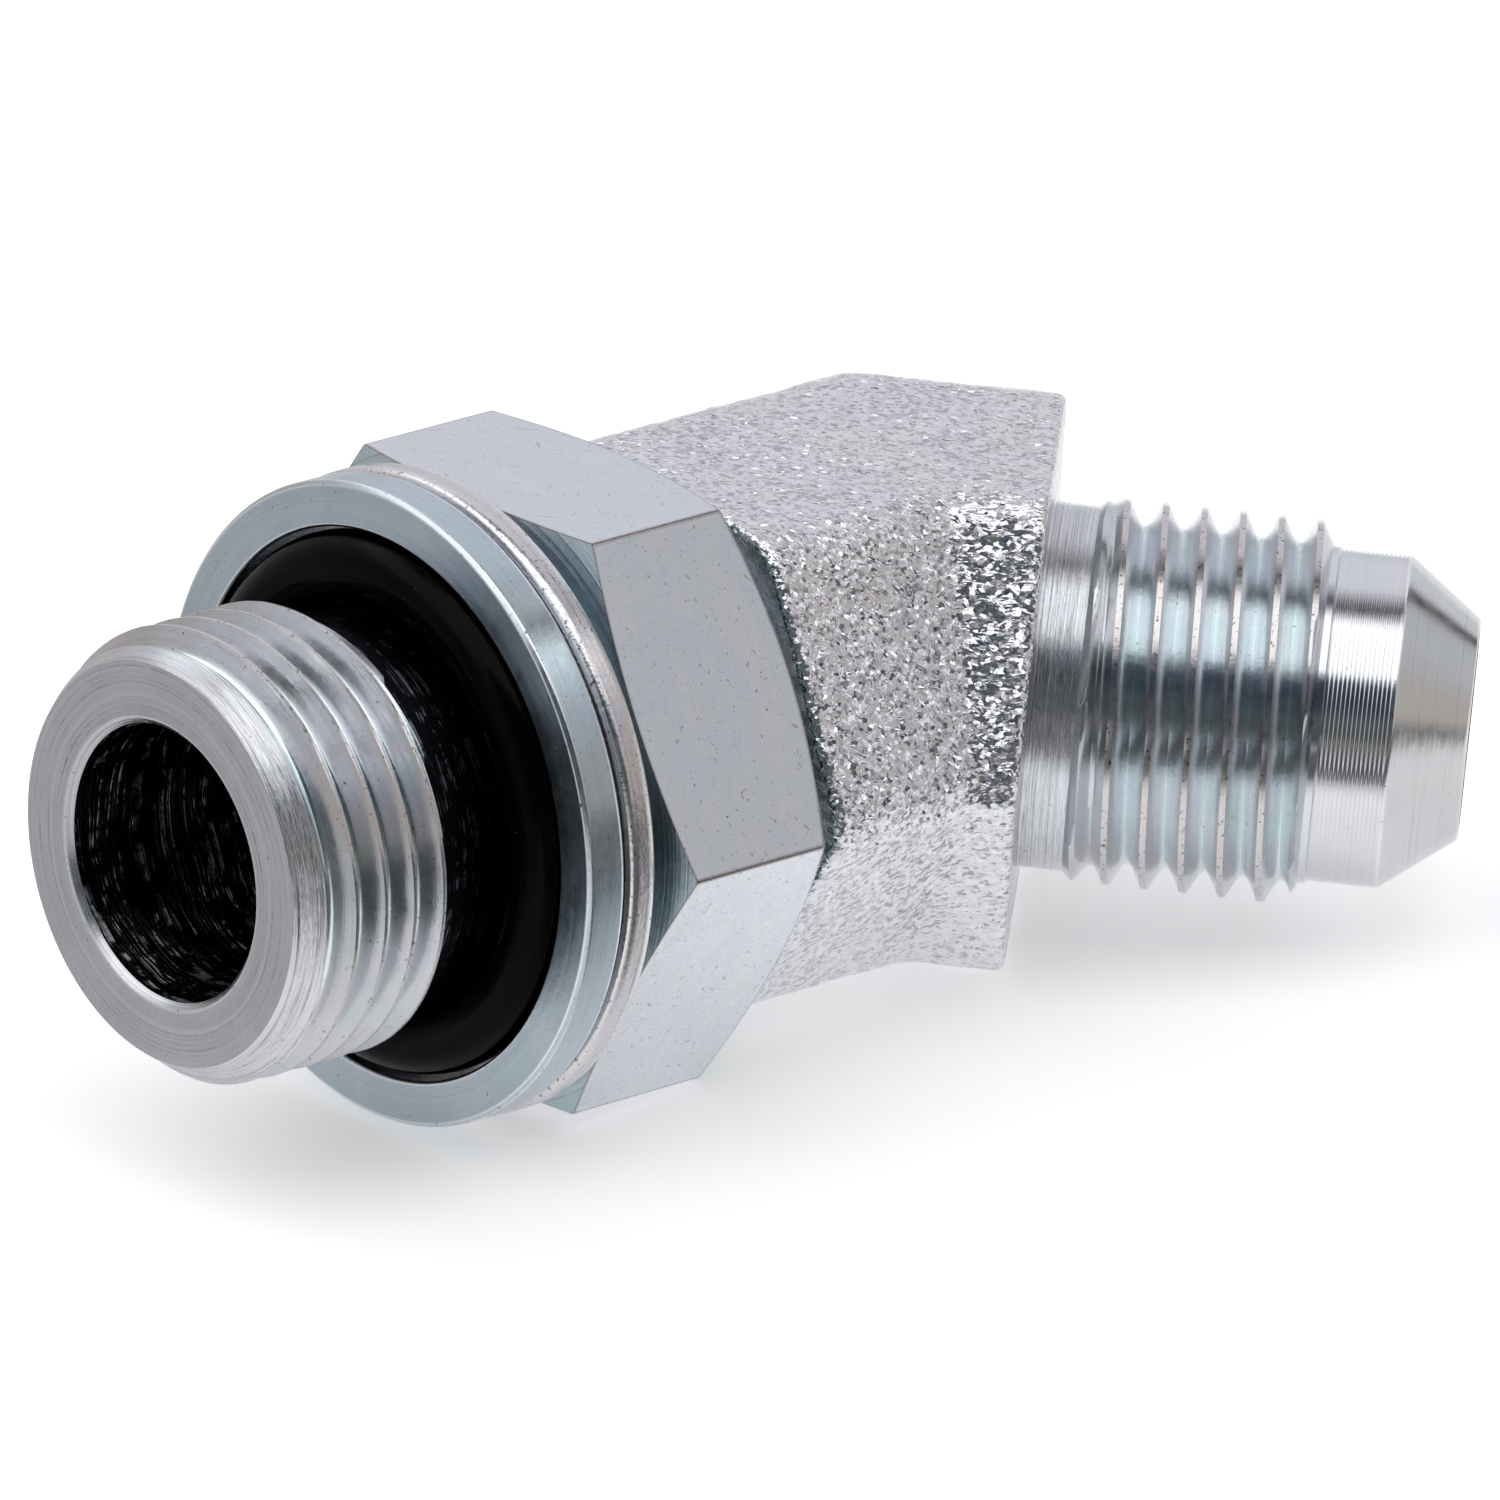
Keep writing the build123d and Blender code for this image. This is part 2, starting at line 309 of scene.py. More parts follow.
def thread(mesh, axis, side, start, end, outside, pitch, form, envelope, first, ramp=None, tail=None,
           hand=1):
    """Helical thread band between two stations, with a crest at the station first.

    envelope gives the turned radius along it, and ramp how much of the groove is cut. tail is a
    station and the material beyond it. hand is 1 where the angle round the arm follows a right-hand
    screw, and -1 where it runs against it."""
    half = thread_points(form)
    cell = np.concatenate([half, 1 - half[-2:0:-1]])
    spare = 3
    turns = int(math.ceil((end - start) / pitch)) + spare
    theta = 2 * math.pi * np.arange(ROWS + 1) / ROWS
    lead = hand * pitch * theta / (2 * math.pi)
    base = (np.arange(-spare, turns + 1)[:, None] + cell[None]).ravel() * pitch + first
    base = base[(base > start - 1.5 * pitch) & (base < end + 1.5 * pitch)]
    s = np.clip(base[None] + lead[:, None], start, end)
    phase = (s - first - lead[:, None]) / pitch
    fade = 1.0 if ramp is None else ramp(s)
    cut = groove(phase, form) * fade
    # the crests are a little ragged, and marked for a colour painted on them as their sheen
    ragged = np.clip(1 - cut / 0.06, 0, 1)
    ring = np.broadcast_to(theta[:, None], s.shape)
    chips = lattice_noise(np.stack([1.8 * s, 20 * np.cos(ring), 20 * np.sin(ring)], axis=-1), 21)
    r = np.minimum(envelope(s), outside - cut + 0.012 * ragged * (chips - 0.6))
    r = np.where((s <= start + 1e-9) | (s >= end - 1e-9), envelope(s), r)
    wear = np.clip(1.3 - cut / 0.04, 0, 1) * (r > outside - 0.12)
    co = around(axis, side, s, r, theta[:, None])
    turn = placed(co, s, r, np.clip((outside - r) / form[0], 0, 1))
    mat = THREADED if tail is None else np.where(s[:-1, :-1] > tail[0], tail[1], THREADED)
    mesh.grid(co, turn, wear, mat, wrap=False)


def line_through(*points):
    """Piecewise straight radius along an arm from (station, radius) points."""
    xs = [p[0] for p in points]
    ys = [p[1] for p in points]
    return lambda s: np.interp(s, xs, ys)


# ---- noise for the forged surface and the thread's crests ----


def lattice_noise(p, seed):
    """Smooth value noise between -1 and 1 on an N x 3 array of points."""
    p = np.asarray(p, float)
    i = np.floor(p).astype(np.int64)
    f = p - i
    f = f * f * (3 - 2 * f)
    total = np.zeros(p.shape[:-1])
    for dx in (0, 1):
        for dy in (0, 1):
            for dz in (0, 1):
                h = (i[..., 0] + dx) * 374761393 + (i[..., 1] + dy) * 668265263
                h = h + (i[..., 2] + dz) * 2147483647 + seed * 1274126177
                h = (h ^ (h >> 13)) * 1274126177
                h = (h ^ (h >> 16)) & 0xFFFFFF
                v = h / float(0xFFFFFF) * 2 - 1
                w = f[..., 0] if dx else 1 - f[..., 0]
                w = w * (f[..., 1] if dy else 1 - f[..., 1])
                w = w * (f[..., 2] if dz else 1 - f[..., 2])
                total += v * w
    return total


# ---- the elbow ----


def section(rows):
    """Rounded hexagon: evenly spread (inner side, up) points, their normals, the length up to each."""
    path, normal = [], []
    centre_r = BLOCK_CORNER - BLOCK_ROUND / math.cos(HEX_HALF)
    half_steps = 8
    for corner in range(6):
        c = 2 * HEX_HALF * corner
        centre = centre_r * np.array([math.cos(c), math.sin(c)])
        for k in range(-half_steps, half_steps + 1):
            a = c + HEX_HALF * k / half_steps
            n = np.array([math.cos(a), math.sin(a)])
            path.append(centre + BLOCK_ROUND * n)
            normal.append(n)
    path, normal = np.array(path), np.array(normal)
    closed = np.vstack([path, path[:1]])
    length = np.concatenate([[0], np.cumsum(np.linalg.norm(np.diff(closed, axis=0), axis=1))])
    want = np.linspace(0, length[-1], rows, endpoint=False)
    closed_n = np.vstack([normal, normal[:1]])
    out = np.stack([np.interp(want, length, closed[:, k]) for k in range(2)], axis=1)
    nrm = np.stack([np.interp(want, length, closed_n[:, k]) for k in range(2)], axis=1)
    nrm /= np.linalg.norm(nrm, axis=1)[:, None]
    return out, nrm, want


def bend_round(y):
    """Radius of the bend at an offset towards the inner side."""
    w = BLOCK_CORNER
    between = 2.5
    return np.interp(y, [-w, -w / 2, w / 2, w],
                     [BEND_OUTER_ROUND, between, BEND_INNER_ROUND, BEND_INNER_ROUND])


def block_skin(mesh):
    """The forged surface, from one faced end round the bend to the other. Returns its two rims."""
    pts, nrm, run = section(SKIN_ROWS)
    y, z = pts[:, 0], pts[:, 1]
    rho = bend_round(y)
    corner = y * math.tan(HALF_BEND)
    reach = rho * math.tan(HALF_BEND)
    n_stud, n_arc, n_flare, n_end = 48, 14, 44, 3
    e = BLOCK_END_ROUND
    co, out, along = [], [], []

    def end_round(axis, side, face, turns):
        """Small round between the forged surface and a faced end."""
        for t in turns:
            s = face - e + e * math.sin(t)
            drop = e * (1 - math.cos(t)) * nrm
            rim = P0 + axis * s + side * (y - drop[:, 0])[:, None] + UP * (z - drop[:, 1])[:, None]
            co.append(rim)
            out.append(side * nrm[:, :1] + UP * nrm[:, 1:])
            along.append(np.full(SKIN_ROWS, s))

    turns = [math.pi / 2 * k / n_end for k in range(1, n_end + 1)]
    end_round(STUD, STUD_IN, BLOCK_STUD_FACE, turns[::-1])
    for k in range(n_stud):
        s = BLOCK_STUD_FACE - e + (corner + reach - BLOCK_STUD_FACE + e) * k / n_stud
        co.append(P0 + STUD * s[:, None] + STUD_IN * y[:, None] + UP * z[:, None])
        out.append(STUD_IN * nrm[:, :1] + UP * nrm[:, 1:])
        along.append(s)
    centre = P0 + INNER * ((y + rho) / math.cos(HALF_BEND))[:, None] + UP * z[:, None]
    for k in range(n_arc):
        t = BEND * k / n_arc
        into = STUD_IN * math.cos(t) + STUD * math.sin(t)
        co.append(centre - into * rho[:, None])
        out.append(into * nrm[:, :1] + UP * nrm[:, 1:])
        along.append(np.zeros(SKIN_ROWS))
    for k in range(n_flare + 1):
        s = corner + reach + (BLOCK_FLARE_FACE - e - corner - reach) * k / n_flare
        co.append(P0 + FLARE * s[:, None] + FLARE_IN * y[:, None] + UP * z[:, None])
        out.append(FLARE_IN * nrm[:, :1] + UP * nrm[:, 1:])
        along.append(-s)
    end_round(FLARE, FLARE_IN, BLOCK_FLARE_FACE, turns)
    co = np.stack(co, axis=1)
    out = np.stack(out, axis=1)
    # the forging's unevenness in three sizes, set a little inwards
    broad = lattice_noise(co * 0.45, 3) * 0.05
    medium = lattice_noise(co * 1.3, 5) * 0.03
    fine = lattice_noise(co * 3.1, 7) * 0.022
    inwards = 0.03
    co = co + out * (broad + medium + fine - inwards)[..., None]
    mesh.grid(co, placed(co, np.stack(along, axis=1), run[:, None]), None, FORGED)
    return co[:, 0], co[:, -1]


def end_face(mesh, ring, axis, side, station, radius):
    """Turned face from the forged outline in to the neck."""
    theta = np.arctan2((ring - P0) @ UP, (ring - P0) @ side)
    circle = around(axis, side, station, radius, theta[:, None])[:, 0]
    steps = 5
    co = np.stack([ring + (circle - ring) * k / steps for k in range(steps + 1)], axis=1)
    off = co - (P0 + axis * station)
    off = np.linalg.norm(off - (off @ axis)[..., None] * axis, axis=2)
    # the rim at the forged outline is marked for a painted highlight
    wear = np.zeros(co.shape[:2])
    wear[:, 0] = 1
    mesh.grid(co, placed(co, station, off), wear, FACE)


def elbow():
    mesh = Mesh()
    at_stud, at_flare = block_skin(mesh)
    end_face(mesh, at_stud, STUD, STUD_IN, BLOCK_STUD_FACE, STUD_CUT)
    end_face(mesh, at_flare, FLARE, FLARE_IN, BLOCK_FLARE_FACE, FLARE_NECK)
    stud_arm(mesh)
    flare_arm(mesh)
    bores(mesh)
    return mesh


def stud_arm(mesh):
    """Neck, rear thread, undercut, front thread with its lead chamfer, and the end face."""
    rise = STUD_CREST - STUD_CUT
    lathe(mesh, STUD, STUD_IN, [(STUD_CUT, BLOCK_STUD_FACE), (STUD_CUT, STUD_NECK_END)], mat=FACE, step=0.35)
    rear = line_through((STUD_NECK_END, STUD_CUT), (STUD_NECK_END + rise, STUD_CREST),
                        (REAR_THREAD_END - 0.1, STUD_CREST), (REAR_THREAD_END - 0.05, STUD_CREST - 0.13),
                        (REAR_THREAD_END, STUD_CUT))
    thread(mesh, STUD, STUD_IN, STUD_NECK_END, REAR_THREAD_END, STUD_CREST, STUD_PITCH, STUD_FORM,
           rear, first=13.0)
    # the undercut is painted nearly black as the shade in the groove round the stud at the washer and ring
    lathe(mesh, STUD, STUD_IN, [(STUD_CUT, REAR_THREAD_END), (STUD_CUT, FRONT_THREAD)], mat=SHADED_UNDERCUT, step=1.0)
    front = line_through((FRONT_THREAD, STUD_CUT), (FRONT_THREAD + 0.01, STUD_CREST - 0.1),
                         (FRONT_THREAD + 0.1, STUD_CREST), (STUD_LEAD, STUD_CREST), (STUD_TIP, STUD_TIP_R))
    thread(mesh, STUD, STUD_IN, FRONT_THREAD, STUD_TIP, STUD_CREST, STUD_PITCH, STUD_FORM,
           front, first=27.55, tail=(STUD_LEAD - 0.05, NECK))
    lathe(mesh, STUD, STUD_IN,
          [(STUD_TIP_R, STUD_TIP), (STUD_BORE + BORE_EDGE, STUD_TIP), (STUD_BORE, STUD_TIP - BORE_EDGE)],
          rounds=(0, 0.08), mat=FACE, step=0.3)


def flare_arm(mesh):
    """Neck, thread, relief, nose and 37 degree cone. The angle runs against the screw here."""
    lathe(mesh, FLARE, FLARE_IN, [(FLARE_NECK, BLOCK_FLARE_FACE), (FLARE_NECK, FLARE_THREAD)],
          mat=NECK, step=0.3)
    envelope = line_through((FLARE_THREAD, FLARE_NECK), (FLARE_THREAD + 0.35, FLARE_CREST),
                            (FLARE_THREAD_END - 0.25, FLARE_CREST), (FLARE_THREAD_END, FLARE_CUT))
    thread(mesh, FLARE, FLARE_IN, FLARE_THREAD, FLARE_THREAD_END, FLARE_CREST, FLARE_PITCH, FLARE_FORM,
           envelope, first=8.856, ramp=lambda s: smooth(s, 7.4, 8.9), hand=-1)
    grooves_end = NOSE_END - 0.12
    lathe(mesh, FLARE, FLARE_IN, [(FLARE_CUT, FLARE_THREAD_END), (FLARE_CUT, 16.3), (NOSE_R, NOSE_START)],
          mat=NOSE, step=0.25)
    nose_grooves(mesh, NOSE_START, grooves_end)
    lathe(mesh, FLARE, FLARE_IN,
          [(NOSE_R, grooves_end), (NOSE_R, NOSE_END), (TIP_R, FLARE_TIP), (FLARE_BORE, FLARE_TIP)],
          rounds=(0, 0.08, 0.1), mat=CONE, step=0.3)


def nose_grooves(mesh, start, end, pitch=0.165, depth=0.024, steps=5):
    """Tool marks left round the nose by its last cut."""
    count = round((end - start) / pitch) * steps
    k = np.arange(count + 1)
    s = start + (end - start) * k / count
    r = NOSE_R - depth / 2 * (1 - np.cos(2 * math.pi * k / steps))
    band(mesh, FLARE, FLARE_IN, s[None], r[None], angles()[:, None], NOSE)


def bores(mesh):
    """The stud's drilling ends on the plane between the arms, and a funnel leads from there into
    the flare's narrower one."""
    theta = angles()[:, None]
    mouth = STUD_TIP - BORE_EDGE
    stud_end = STUD_BORE * np.cos(theta) * math.tan(HALF_BEND)
    s = mouth + (stud_end - mouth) * np.linspace(0, 1, 13)[None]
    band(mesh, STUD, STUD_IN, s, STUD_BORE, theta, BORED)
    inner_end = around(STUD, STUD_IN, stud_end, STUD_BORE, theta)[:, 0]
    rel = inner_end - P0
    theta = np.arctan2(rel @ UP, rel @ FLARE_IN)[:, None]
    target = np.maximum(rel @ FLARE + 1.4, 2.4)[:, None]
    ring = around(FLARE, FLARE_IN, target, FLARE_BORE, theta)[:, 0]
    co = inner_end[:, None] + (ring - inner_end)[:, None] * np.linspace(0, 1, 5)[None, :, None]
    mesh.grid(co, placed(co, 0, 4), None, BORED)
    s = target + (FLARE_TIP - target) * np.linspace(0, 1, 9)[None]
    band(mesh, FLARE, FLARE_IN, s, FLARE_BORE, theta, BORED)


# ---- the nut ----


def nut_outline():
    """Angle, radius and edge mark (for a dark line painted along the nut's edges) of the points round the
    hexagon, with its corners slightly rounded.
    """
    per_side, bend = 26, 3
    small, near_edge = NUT_EDGE_ROUND, 0.07
    theta, hexr, edge = [], [], []
    corner_r = NUT_HALF / math.cos(HEX_HALF)
    centre_r = corner_r - small / math.cos(HEX_HALF)
    for k in range(6):
        c = 2 * HEX_HALF * k
        centre = centre_r * np.array([math.cos(c), math.sin(c)])
        for j in range(-bend, bend + 1):
            a = c + HEX_HALF * j / bend
            p = centre + small * np.array([math.cos(a), math.sin(a)])
            theta.append(math.atan2(p[1], p[0]))
            hexr.append(np.linalg.norm(p))
            edge.append(1 - abs(j) / (bend + 1) * 0.5)
        mid = c + HEX_HALF
        out = np.array([math.cos(mid), math.sin(mid)])
        along = np.array([-math.sin(mid), math.cos(mid)])
        span = (NUT_HALF - small) * math.tan(HEX_HALF)
        for x in [near_edge - span, *np.linspace(-span, span, per_side)[1:-1], span - near_edge]:
            p = NUT_HALF * out + x * along
            theta.append(math.atan2(p[1], p[0]))
            hexr.append(np.linalg.norm(p))
            edge.append(0)
    return np.unwrap(np.array(theta))[:, None], np.array(hexr)[:, None], np.array(edge)[:, None]


def nut():
    """Hexagon with both ends chamfered by turning, in columns from the bore round the outside."""
    mesh = Mesh()
    theta, hexr, edge = nut_outline()
    rear, boss, shoulder = NUT_REAR_R, NUT_BOSS_R, NUT_FRONT - NUT_BOSS
    rear_cut = NUT_REAR + (hexr - rear) * math.tan(NUT_REAR_ANGLE)
    front_cut = shoulder - (hexr - boss) * math.tan(NUT_FRONT_ANGLE)
    bore, wide = NUT_BORE, NUT_MOUTH
    mouth = wide - bore
    cols_r, cols_s, cols_w, cols_m = [], [], [], []

    def add(r, s, w=0.0, m=TURNED):
        r, s, w = np.broadcast_arrays(np.asarray(r, float), np.asarray(s, float), np.asarray(w, float))
        cols_r.append(np.broadcast_to(r, hexr.shape))
        cols_s.append(np.broadcast_to(s, hexr.shape))
        cols_w.append(np.broadcast_to(w, hexr.shape))
        cols_m.append(m)

    # rear face, in the material painted dark as shade against the block
    add(bore, NUT_REAR + mouth, m=SHADED_REAR)
    for k in range(1, 4):
        add(bore + mouth * k / 3, NUT_REAR + mouth - mouth * k / 3, m=SHADED_REAR)
    for k in range(1, 5):
        add(wide + (rear - 0.05 - wide) * k / 4, NUT_REAR, m=SHADED_REAR)
    # rear chamfer, painted dark as shade in the gap to the block; then flats and front chamfer
    add(rear + 0.03, NUT_REAR + 0.02, 0.6, SHADED_REAR)
    for k in range(1, 6):
        t = k / 5
        add(rear + 0.03 + (hexr - 0.05 - rear - 0.03) * t,
            NUT_REAR + 0.02 + (rear_cut - 0.04 - NUT_REAR - 0.02) * t, 0, SHADED_REAR)
    add(hexr - 0.006, rear_cut + 0.02, 1)
    add(hexr, rear_cut + 0.08, np.maximum(0.3, edge), FLAT)
    a, b = rear_cut + 0.16, front_cut - 0.14
    for k in range(0, 15):
        add(hexr, a + (b - a) * (k / 14), edge, FLAT)
    add(hexr, front_cut - 0.06, np.maximum(0.3, edge), FLAT)
    add(hexr - 0.008, front_cut + 0.01, 1)
    for k in range(0, 7):
        t = k / 6
        add(hexr - 0.07 + (boss + 0.05 - hexr + 0.07) * t,
            front_cut + 0.03 + (shoulder - 0.01 - front_cut - 0.03) * t)
    # boss, front face and bore
    add(boss, shoulder + 0.03, 0.3)
    add(boss, NUT_FRONT - 0.08, 0.2)
    add(boss - 0.02, NUT_FRONT - 0.02, 1)
    add(boss - 0.08, NUT_FRONT, 0.6)
    for k in range(1, 4):
        add(boss - 0.08 + (wide - boss + 0.08) * k / 3, NUT_FRONT)
    add(bore, NUT_FRONT - mouth)
    for k in range(1, 4):
        add(bore, NUT_FRONT - mouth + (NUT_REAR + 2 * mouth - NUT_FRONT) * k / 3)
    r = np.concatenate(cols_r, axis=1)
    s = np.concatenate(cols_s, axis=1)
    w = np.concatenate(cols_w, axis=1)
    # the top flat is turned a little towards the outer side of the bend
    band(mesh, STUD, STUD_IN, s, r, theta + NUT_TURN, np.array(cols_m)[None, :-1], w)
    return mesh


def ring_piece(profile, rounds, step=0.5, rows=220):
    """Ring turned from a profile that closes on itself."""
    mesh = Mesh()
    lathe(mesh, STUD, STUD_IN, profile + [profile[0]], rounds, step, rows=rows)
    return mesh


def rubber_ring(rows=240, sides=40):
    mesh = Mesh()
    middle, station = WASHER_BORE + O_RING_HALF, RING_REAR + O_RING_HALF
    a = 2 * math.pi * np.arange(sides + 1)[None] / sides
    co = around(STUD, STUD_IN, station + O_RING_HALF * np.sin(a), middle + O_RING_HALF * np.cos(a),
                angles(rows)[:, None])
    mesh.grid(co, placed(co, O_RING_HALF * a, middle))
    return mesh


# ---- materials ----


def connect(tree, socket, value):
    """Links a socket to another one, or gives it a value."""
    if isinstance(value, bpy.types.NodeSocket):
        tree.links.new(value, socket)
    elif socket.type == "RGBA" and len(value) == 3:
        socket.default_value = (*value, 1)
    else:
        socket.default_value = value


def add_node(tree, kind, inputs=None, **props):
    n = tree.nodes.new(kind)
    for key, value in props.items():
        setattr(n, key, value)
    for key, value in (inputs or {}).items():
        connect(tree, n.inputs[key], value)
    return n


def add_ramp(tree, value, stops, scale=1.0):
    """Colour ramp with stops of (position, colour), or of (position, grey). Colours are divided by
    scale, because a ramp holds nothing above 1."""
    n = add_node(tree, "ShaderNodeValToRGB", {"Fac": value})
    bar = n.color_ramp
    while len(bar.elements) < len(stops):
        bar.elements.new(0.5)
    for element, (position, colour) in zip(bar.elements, stops):
        colour = colour if isinstance(colour, tuple) else (colour,) * 3
        element.position = position
        element.color = (*[c / scale for c in colour], 1)
    return n.outputs["Color"]


class Finish:
    """A material built up node by node. Lengths in its textures are millimetres."""

    def __init__(self, name):
        self.material = bpy.data.materials.new(name)
        self.material.use_nodes = True
        self.tree = self.material.node_tree
        self.bsdf = self.tree.nodes["Principled BSDF"]
        place = self.node("ShaderNodeTexCoord").outputs["Object"]
        self.place = self.vector("MULTIPLY", place, (1 / MM,) * 3)
        self.turned = self.node("ShaderNodeAttribute", attribute_name="turn").outputs["Vector"]
        # marks the edges whose colour is painted light, bright highlights on most parts and dark lines on the
        # nut
        self.edge_shading_mask = self.node("ShaderNodeAttribute", attribute_name="wear").outputs["Fac"]

    def node(self, kind, inputs=None, **props):
        return add_node(self.tree, kind, inputs, **props)

    def math(self, operation, a, b=0.0, c=0.0):
        return self.node("ShaderNodeMath", {0: a, 1: b, 2: c}, operation=operation).outputs[0]

    def vector(self, operation, *values):
        return self.node("ShaderNodeVectorMath", dict(enumerate(values)), operation=operation).outputs[0]

    def split(self, vector):
        return self.node("ShaderNodeSeparateXYZ", {0: vector}).outputs

    def joined(self, x, y, z):
        return self.node("ShaderNodeCombineXYZ", {0: x, 1: y, 2: z}).outputs[0]

    def noise(self, vector, scale, detail=3.0, rough=0.55, distort=0.0):
        inputs = {"Vector": vector, "Scale": scale, "Detail": detail, "Roughness": rough,
                  "Distortion": distort}
        return self.node("ShaderNodeTexNoise", inputs).outputs["Fac"]

    def ramp(self, value, *stops):
        return add_ramp(self.tree, value, stops)

    def range(self, value, start, end, low, high, **props):
        inputs = {0: value, 1: start, 2: end, 3: low, 4: high}
        return self.node("ShaderNodeMapRange", inputs, **props).outputs[0]

    def mix(self, factor, a, b):
        return self.node("ShaderNodeMix", {0: factor, 6: a, 7: b}, data_type="RGBA").outputs[2]

    def bump(self, height, size, below=None):
        """size is how high the relief stands, in millimetres."""
        inputs = {"Height": height, "Strength": 1.0, "Distance": size * MM}
        if below is not None:
            inputs["Normal"] = below
        return self.node("ShaderNodeBump", inputs).outputs[0]

    def finish(self, colour, rough, normal=None, metal=1.0, **more):
        inputs = {"Base Color": colour, "Roughness": rough, "Normal": normal, "Metallic": metal, **more}
        for key, value in inputs.items():
            if value is not None:
                connect(self.tree, self.bsdf.inputs[key.replace("_", " ")], value)
        return self.material


def plated(name, tones, rough, rings, relief, grain, crest, specks=0.66, tint=0.5, dark_lines=0.4,
           root=None, scuffs=0.0):
    """Zinc plate on turned metal: fine rings, cloudy tints, small dark specks, and painted edge light.

    tones are the plate's own colour, the one of its clouds and the one of its rings. crest is the colour
    painted on marked edges as their light, bright for a highlight and dark for a shaded line; root colours
    the bottom of a thread. relief and grain are heights in millimetres."""
    f = Finish(name)
    station, radius, depth = f.split(f.turned)
    # rings follow the turning, and drift slowly across so that none is perfect
    line = f.joined(station, radius, f.math("MULTIPLY", f.split(f.place)[2], 0.012))
    fine = f.noise(line, rings, 4.0, 0.75)
    broad = f.noise(line, rings * 0.3, 2.0, 0.6)
    cloud = f.noise(f.place, 0.35, 3.0, 0.6)
    patch = f.noise(f.place, 1.6, 3.0, 0.6)
    colour = f.mix(f.ramp(cloud, (0.42, 0.0), (0.60, tint)), tones[0], tones[1])
    colour = f.mix(f.ramp(broad, (0.50, 0.0), (0.64, tint)), colour, tones[2])
    if root is not None:
        colour = f.mix(f.ramp(depth, (0.80, 0.0), (0.96, 1.0)), colour, root)
    marks = f.math("MULTIPLY", f.ramp(fine, (0.34, dark_lines), (0.46, 0.0)),
                   f.ramp(patch, (0.4, 1.0), (0.6, 0.4)))
    colour = f.mix(marks, colour, (0.20, 0.20, 0.22))
    # painted edge light: marked edges take the crest colour, bright highlights on most parts, dark lines on
    # the nut
    edge_shading_mask = f.math("POWER", f.edge_shading_mask, 1.6)
    colour = f.mix(edge_shading_mask, colour, crest)
    dust = f.math("ADD", f.noise(f.place, 6.0, 3.0, 0.7), f.math("MULTIPLY", edge_shading_mask, 0.05))
    colour = f.mix(f.ramp(dust, (specks, 0.0), (specks + 0.04, 0.85)), colour, (0.07, 0.06, 0.06))
    normal = f.bump(f.math("ADD", f.math("MULTIPLY", fine, 0.35), broad), relief)
    normal = f.bump(f.noise(f.place, 3.5, 4.0, 0.7), grain, normal)
    if scuffs:
        for stretch, shift in (((0.5, 5.0, 2.0), 0.0), ((4.0, 0.7, 3.0), 7.0)):
            across = f.vector("MULTIPLY_ADD", f.place, stretch, (shift,) * 3)
            scratch = f.ramp(f.noise(across, 1.3, 2.0, 0.5, 0.3), (0.70, 0.0), (0.73, 1.0))
            colour = f.mix(f.math("MULTIPLY", scratch, scuffs), colour, (0.34, 0.34, 0.36))
            normal = f.bump(scratch, -0.004, normal)
    return f.finish(colour, f.range(patch, 0.3, 0.7, rough * 0.8, rough * 1.25), normal)


def painted_shade_wall(name, shade_tone, lines, relief, rough, share, slant, scratch=(0.85, 0.86, 0.88)):
    """Wall painted nearly black as shade in a recess (the bore, the undercut), with a few thin bright lines
    that run round it.
    """
    f = Finish(name)
    station, radius, _ = f.split(f.turned)
    bend = f.noise(f.place, 0.22, 2.0, 0.5)
    across = f.math("ADD", station, f.math("MULTIPLY", bend, slant))
    wave = f.noise(f.joined(across, radius, f.math("MULTIPLY", bend, 0.5)), lines, 3.0, 0.75)
    broken = f.noise(f.place, 0.9, 4.0, 0.7)
    thin = f.math("MULTIPLY", f.ramp(wave, (share, 0.0), (share + 0.05, 1.0)),
                  f.ramp(broken, (0.48, 0.0), (0.58, 1.0)))
    normal = f.bump(wave, relief)
    normal = f.bump(f.noise(f.place, 6.0, 3.0, 0.7), relief * 0.1, normal)
    return f.finish(f.mix(thin, shade_tone, scratch), f.range(thin, 0.0, 1.0, *rough), normal)


def tilted(f, vector, scale, amount, below):
    """Flakes: each cell leans its own way, most of them only a little."""
    cell = f.node("ShaderNodeTexVoronoi", {"Vector": vector, "Scale": scale}).outputs["Color"]
    lean = f.vector("MULTIPLY_ADD", cell, (2, 2, 2), (-1, -1, -1))
    cube = f.vector("MULTIPLY", f.vector("MULTIPLY", lean, lean), lean)
    return f.vector("NORMALIZE", f.vector("MULTIPLY_ADD", cube, (amount,) * 3, below))


